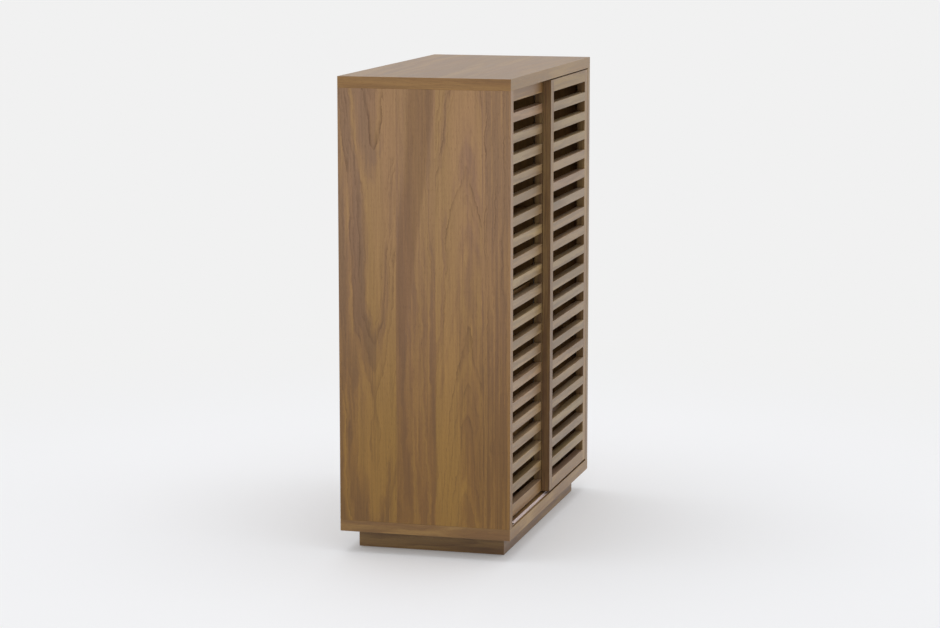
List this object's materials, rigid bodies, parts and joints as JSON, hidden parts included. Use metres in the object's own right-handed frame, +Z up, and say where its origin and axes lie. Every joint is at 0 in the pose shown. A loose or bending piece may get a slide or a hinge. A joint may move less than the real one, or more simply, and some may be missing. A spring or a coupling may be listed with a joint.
{
  "type": "sideboard",
  "caption": "Tall walnut sideboard with slatted sliding doors on metal tracks, adjustable shelves either side of a divider, and a recessed plinth.",
  "frame": {"origin": "on the floor under the middle of the cabinet", "axes": "+X to the right seen from the front, +Y to the back, +Z up; the doors face -Y"},
  "size_m": [0.8, 0.4, 1.09],
  "materials": {
    "walnut_veneer": "satin lacquered walnut veneer",
    "interior_veneer": "satin lacquered walnut veneer",
    "door_frame_wood": "satin lacquered solid walnut",
    "slat_wood": "satin lacquered solid walnut",
    "plinth_wood": "satin lacquered solid walnut",
    "back_board": "veneered thin board",
    "birch_ply": "bare birch plywood",
    "track_aluminium": "satin anodised",
    "steel": "zinc plated",
    "nickel": "satin nickel plated",
    "nylon": "moulded nylon",
    "stop_rubber": "black rubber",
    "glide_plastic": "moulded dark plastic"
  },
  "bodies": {
    "carcase": {"back_panel": "back_board", "bottom_panel": "walnut_veneer", "centre_divider": "interior_veneer", "floor_glides": "glide_plastic", "front_lower_track": "track_aluminium", "front_upper_track": "track_aluminium", "joint_tongues": "birch_ply", "left_end_panel": "walnut_veneer", "left_lower_shelf": "interior_veneer", "left_middle_shelf": "interior_veneer", "left_shelf_pins": "nickel", "left_upper_shelf": "interior_veneer", "plinth_back_rail": "plinth_wood", "plinth_corner_blocks": "plinth_wood", "plinth_cross_rail": "plinth_wood", "plinth_front_rail": "plinth_wood", "plinth_left_rail": "plinth_wood", "plinth_right_rail": "plinth_wood", "rear_lower_track": "track_aluminium", "rear_upper_track": "track_aluminium", "right_end_panel": "walnut_veneer", "right_lower_shelf": "interior_veneer", "right_middle_shelf": "interior_veneer", "right_shelf_pins": "nickel", "right_upper_shelf": "interior_veneer", "top_panel": "walnut_veneer", "track_stops": "stop_rubber"},
    "left_door": {"left_door_bottom_rail": "door_frame_wood", "left_door_left_stile": "door_frame_wood", "left_door_right_stile": "door_frame_wood", "left_door_roller_axles": "steel", "left_door_roller_housings": "nylon", "left_door_slats": "slat_wood", "left_door_top_guides": "nylon", "left_door_top_rail": "door_frame_wood"},
    "right_door": {"right_door_bottom_rail": "door_frame_wood", "right_door_left_stile": "door_frame_wood", "right_door_right_stile": "door_frame_wood", "right_door_roller_axles": "steel", "right_door_roller_housings": "nylon", "right_door_slats": "slat_wood", "right_door_top_guides": "nylon", "right_door_top_rail": "door_frame_wood"},
    "left_door_left_roller": {"left_door_left_roller": "nylon"},
    "left_door_right_roller": {"left_door_right_roller": "nylon"},
    "right_door_left_roller": {"right_door_left_roller": "nylon"},
    "right_door_right_roller": {"right_door_right_roller": "nylon"}
  },
  "joints": [
    {"name": "left_door_slide", "type": "slide", "parent": "carcase", "child": "left_door", "axis": [1, 0, 0], "range_m": [0, 0.361]},
    {"name": "right_door_slide", "type": "slide", "parent": "carcase", "child": "right_door", "axis": [1, 0, 0], "range_m": [-0.361, 0]},
    {"name": "left_door_left_roller_turn", "type": "hinge", "parent": "left_door", "child": "left_door_left_roller", "pos_m": [-0.3234, -0.1698, 0.0825], "axis": [0, 1, 0], "range_deg": [0, 2299.2]},
    {"name": "left_door_right_roller_turn", "type": "hinge", "parent": "left_door", "child": "left_door_right_roller", "pos_m": [-0.038, -0.1698, 0.0825], "axis": [0, 1, 0], "range_deg": [0, 2299.2]},
    {"name": "right_door_left_roller_turn", "type": "hinge", "parent": "right_door", "child": "right_door_left_roller", "pos_m": [0.038, -0.19, 0.0825], "axis": [0, 1, 0], "range_deg": [-2299.2, 0]},
    {"name": "right_door_right_roller_turn", "type": "hinge", "parent": "right_door", "child": "right_door_right_roller", "pos_m": [0.3234, -0.19, 0.0825], "axis": [0, 1, 0], "range_deg": [-2299.2, 0]}
  ],
  "couplings": [
    {"joint": "left_door_left_roller_turn", "follows": "left_door_slide", "rad_per_m": 111.11},
    {"joint": "left_door_right_roller_turn", "follows": "left_door_slide", "rad_per_m": 111.11},
    {"joint": "right_door_left_roller_turn", "follows": "right_door_slide", "rad_per_m": 111.11},
    {"joint": "right_door_right_roller_turn", "follows": "right_door_slide", "rad_per_m": 111.11}
  ]
}
